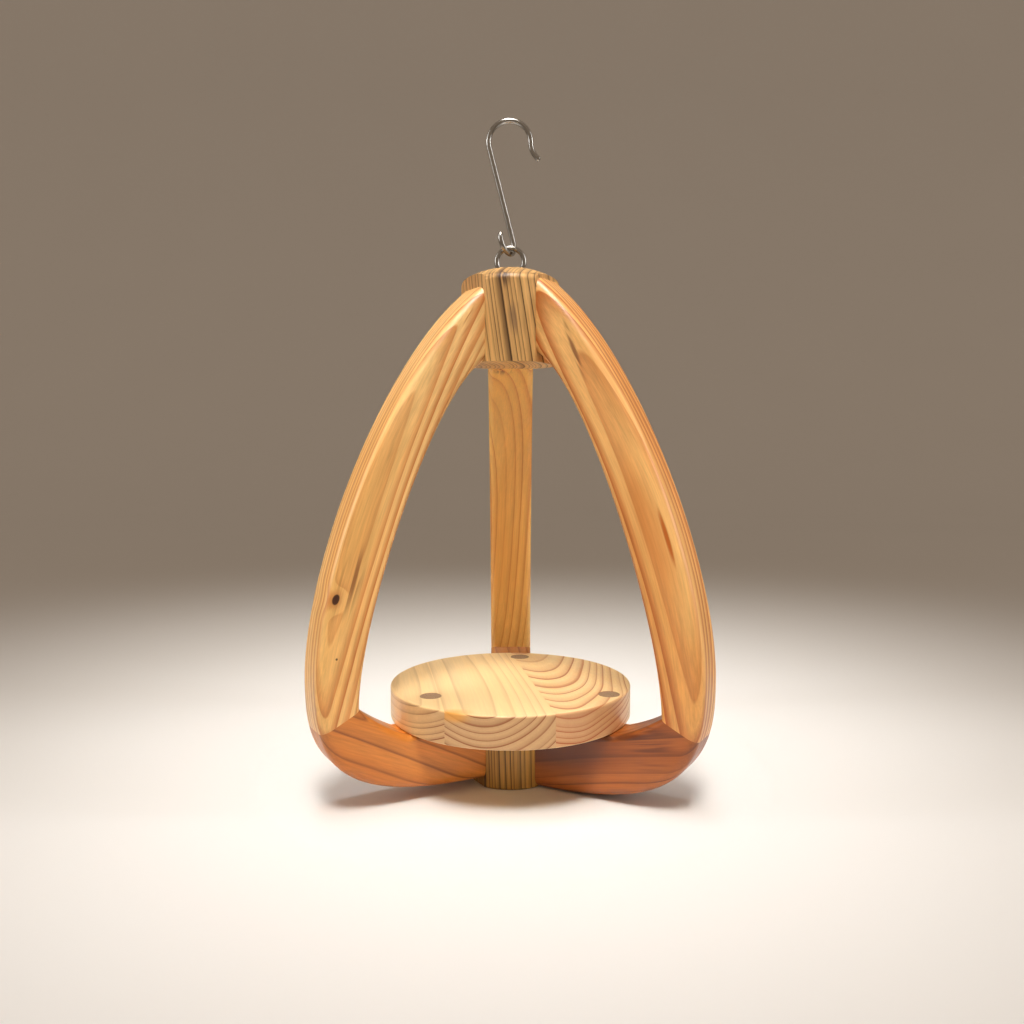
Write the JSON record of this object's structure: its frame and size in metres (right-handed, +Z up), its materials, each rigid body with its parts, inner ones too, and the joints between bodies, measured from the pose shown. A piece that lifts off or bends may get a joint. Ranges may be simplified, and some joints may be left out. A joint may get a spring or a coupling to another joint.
{
  "type": "hanging wooden stand",
  "caption": "Hanging wooden stand: curved arms join a domed hub to a short post and carry a round tray, and a wire hook swings in an eye on top.",
  "frame": {"origin": "on the floor, where the stand's own vertical axis meets the flat underside of the bottom post", "axes": "+Z up along the stand's axis; one arm points along +Y to the back, and the other two to the left front and right front, so -Y is the front"},
  "size_m": [0.2182, 0.1906, 0.379],
  "materials": {
    "arm_pine": "satin varnish",
    "foot_pine": "satin varnish",
    "hub_pine": "satin varnish",
    "post_pine": "satin varnish",
    "tray_pine": "satin varnish",
    "peg_dowel": "end grain, satin varnish",
    "joint_beech": "bare",
    "steel_wire": "polished"
  },
  "bodies": {
    "frame": {"top_hub": "hub_pine", "bottom_post": "post_pine", "screw_eye": "steel_wire", "tray_board_left": "tray_pine", "tray_board_centre": "tray_pine", "tray_board_right": "tray_pine", "upper_arm_back": "arm_pine", "lower_arm_back": "foot_pine", "tray_peg_back": "peg_dowel", "upper_arm_left": "arm_pine", "lower_arm_left": "foot_pine", "tray_peg_left": "peg_dowel", "upper_arm_right": "arm_pine", "lower_arm_right": "foot_pine", "tray_peg_right": "peg_dowel", "mitre_tongue_back": "joint_beech", "hub_dowel_back_lower": "joint_beech", "post_dowel_back_lower": "joint_beech", "hub_dowel_back_upper": "joint_beech", "post_dowel_back_upper": "joint_beech", "mitre_tongue_left": "joint_beech", "hub_dowel_left_lower": "joint_beech", "post_dowel_left_lower": "joint_beech", "hub_dowel_left_upper": "joint_beech", "post_dowel_left_upper": "joint_beech", "mitre_tongue_right": "joint_beech", "hub_dowel_right_lower": "joint_beech", "post_dowel_right_lower": "joint_beech", "hub_dowel_right_upper": "joint_beech", "post_dowel_right_upper": "joint_beech"},
    "hook": {"s_hook": "steel_wire"}
  },
  "joints": [
    {"name": "hook_swing", "type": "hinge", "parent": "frame", "child": "hook", "pos_m": [0, 0, 0.3052], "axis": [1, 0, 0], "range_deg": [-105, 75]}
  ]
}
